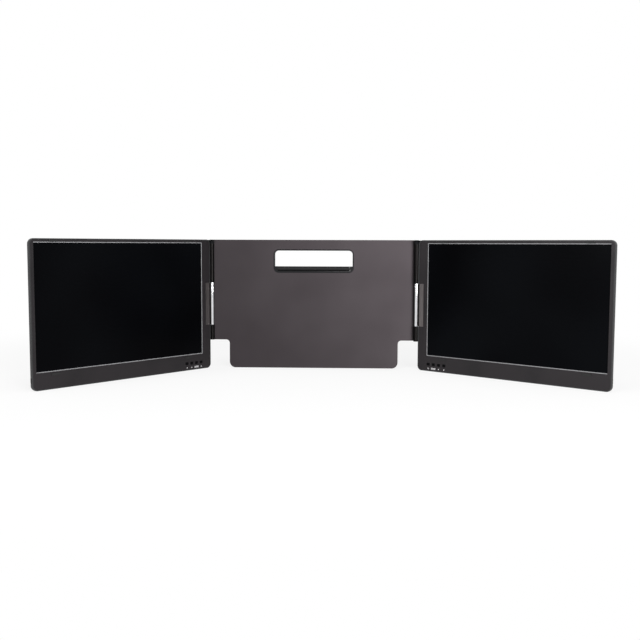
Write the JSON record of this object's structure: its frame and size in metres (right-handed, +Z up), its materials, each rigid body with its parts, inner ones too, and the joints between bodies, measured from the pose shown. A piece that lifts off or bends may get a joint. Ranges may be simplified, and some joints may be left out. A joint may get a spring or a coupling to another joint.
{
  "type": "laptop screen extender",
  "caption": "Folding laptop screen extender: flat centre panel with carrying slot and kickstand, and hinged display screens at its sides.",
  "frame": {"origin": "middle of the centre panel's flat bottom edge, at half the panel's thickness", "axes": "+Z up, -Y towards the viewer and the screens' fronts, +X to the viewer's right, along the panel"},
  "size_m": [0.7832, 0.2575, 0.2047],
  "materials": {
    "plate_metal": "warm dark grey anodised, fine satin",
    "shell_plastic": "fine grained black",
    "liner_plastic": "satin black",
    "kickstand_metal": "black powder coat",
    "rubber": "matt",
    "steel": "plain",
    "screw_steel": "blackened",
    "spine_metal": "satin black",
    "casing_plastic": "fine moulded grain",
    "bezel_plastic": "fine moulded grain",
    "trim_metal": "bright",
    "display": "dark display, semi gloss",
    "board": "solder mask",
    "ribbon": "film",
    "leaf_metal": "satin",
    "barrel_chrome": "polished",
    "button_plastic": "satin"
  },
  "bodies": {
    "centre_panel": {"front_plate": "plate_metal", "rear_shell": "shell_plastic", "slot_liner": "liner_plastic", "kickstand_pin": "steel", "shell_screws": "screw_steel", "side_spine_left": "spine_metal", "hinge_pin_left": "steel", "friction_washers_left": "steel", "side_spine_right": "spine_metal", "hinge_pin_right": "steel", "friction_washers_right": "steel"},
    "kickstand": {"kickstand_plate": "kickstand_metal", "kickstand_foot": "rubber"},
    "screen_left": {"rear_cover_left": "casing_plastic", "front_bezel_left": "bezel_plastic", "display_frame_left": "trim_metal", "display_glass_left": "display", "driver_board_left": "board", "button_board_left": "board", "ribbon_cable_left": "ribbon", "rubber_pads_left": "rubber", "hinge_leaf_left": "leaf_metal", "hinge_neck_left": "spine_metal", "hinge_backing_left": "steel", "hinge_barrel_left": "barrel_chrome", "usb_c_port_left": "steel", "case_screws_left": "screw_steel"},
    "screen_right": {"rear_cover_right": "casing_plastic", "front_bezel_right": "bezel_plastic", "display_frame_right": "trim_metal", "display_glass_right": "display", "driver_board_right": "board", "button_board_right": "board", "ribbon_cable_right": "ribbon", "rubber_pads_right": "rubber", "hinge_leaf_right": "leaf_metal", "hinge_neck_right": "spine_metal", "hinge_backing_right": "steel", "hinge_barrel_right": "barrel_chrome", "usb_c_port_right": "steel", "case_screws_right": "screw_steel"},
    "button_power_left": {"button_power_left": "button_plastic"},
    "button_menu_left": {"button_menu_left": "button_plastic"},
    "button_up_left": {"button_up_left": "button_plastic"},
    "button_down_left": {"button_down_left": "button_plastic"},
    "button_power_right": {"button_power_right": "button_plastic"},
    "button_menu_right": {"button_menu_right": "button_plastic"},
    "button_up_right": {"button_up_right": "button_plastic"},
    "button_down_right": {"button_down_right": "button_plastic"}
  },
  "joints": [
    {"name": "screen_hinge_left", "type": "hinge", "parent": "centre_panel", "child": "screen_left", "pos_m": [-0.1623, -0.0046, 0.1028], "axis": [0, 0, -1], "range_deg": [-129, 96]},
    {"name": "screen_hinge_right", "type": "hinge", "parent": "centre_panel", "child": "screen_right", "pos_m": [0.1623, -0.0138, 0.1028], "axis": [0, 0, 1], "range_deg": [-140.7, 63.3]},
    {"name": "kickstand_hinge", "type": "hinge", "parent": "centre_panel", "child": "kickstand", "pos_m": [0, 0, 0.1588], "axis": [1, 0, 0], "range_deg": [0, 75]},
    {"name": "button_power_left_press", "type": "slide", "parent": "screen_left", "child": "button_power_left", "axis": [-0.7771, 0.6293, 0], "range_m": [0, 0.0008], "stiffness_N_per_m": 900, "springref_m": -0.0008},
    {"name": "button_menu_left_press", "type": "slide", "parent": "screen_left", "child": "button_menu_left", "axis": [-0.7771, 0.6293, 0], "range_m": [0, 0.0008], "stiffness_N_per_m": 900, "springref_m": -0.0008},
    {"name": "button_up_left_press", "type": "slide", "parent": "screen_left", "child": "button_up_left", "axis": [-0.7771, 0.6293, 0], "range_m": [0, 0.0008], "stiffness_N_per_m": 900, "springref_m": -0.0008},
    {"name": "button_down_left_press", "type": "slide", "parent": "screen_left", "child": "button_down_left", "axis": [-0.7771, 0.6293, 0], "range_m": [0, 0.0008], "stiffness_N_per_m": 900, "springref_m": -0.0008},
    {"name": "button_power_right_press", "type": "slide", "parent": "screen_right", "child": "button_power_right", "axis": [0.6334, 0.7738, 0], "range_m": [0, 0.0008], "stiffness_N_per_m": 900, "springref_m": -0.0008},
    {"name": "button_menu_right_press", "type": "slide", "parent": "screen_right", "child": "button_menu_right", "axis": [0.6334, 0.7738, 0], "range_m": [0, 0.0008], "stiffness_N_per_m": 900, "springref_m": -0.0008},
    {"name": "button_up_right_press", "type": "slide", "parent": "screen_right", "child": "button_up_right", "axis": [0.6334, 0.7738, 0], "range_m": [0, 0.0008], "stiffness_N_per_m": 900, "springref_m": -0.0008},
    {"name": "button_down_right_press", "type": "slide", "parent": "screen_right", "child": "button_down_right", "axis": [0.6334, 0.7738, 0], "range_m": [0, 0.0008], "stiffness_N_per_m": 900, "springref_m": -0.0008}
  ]
}
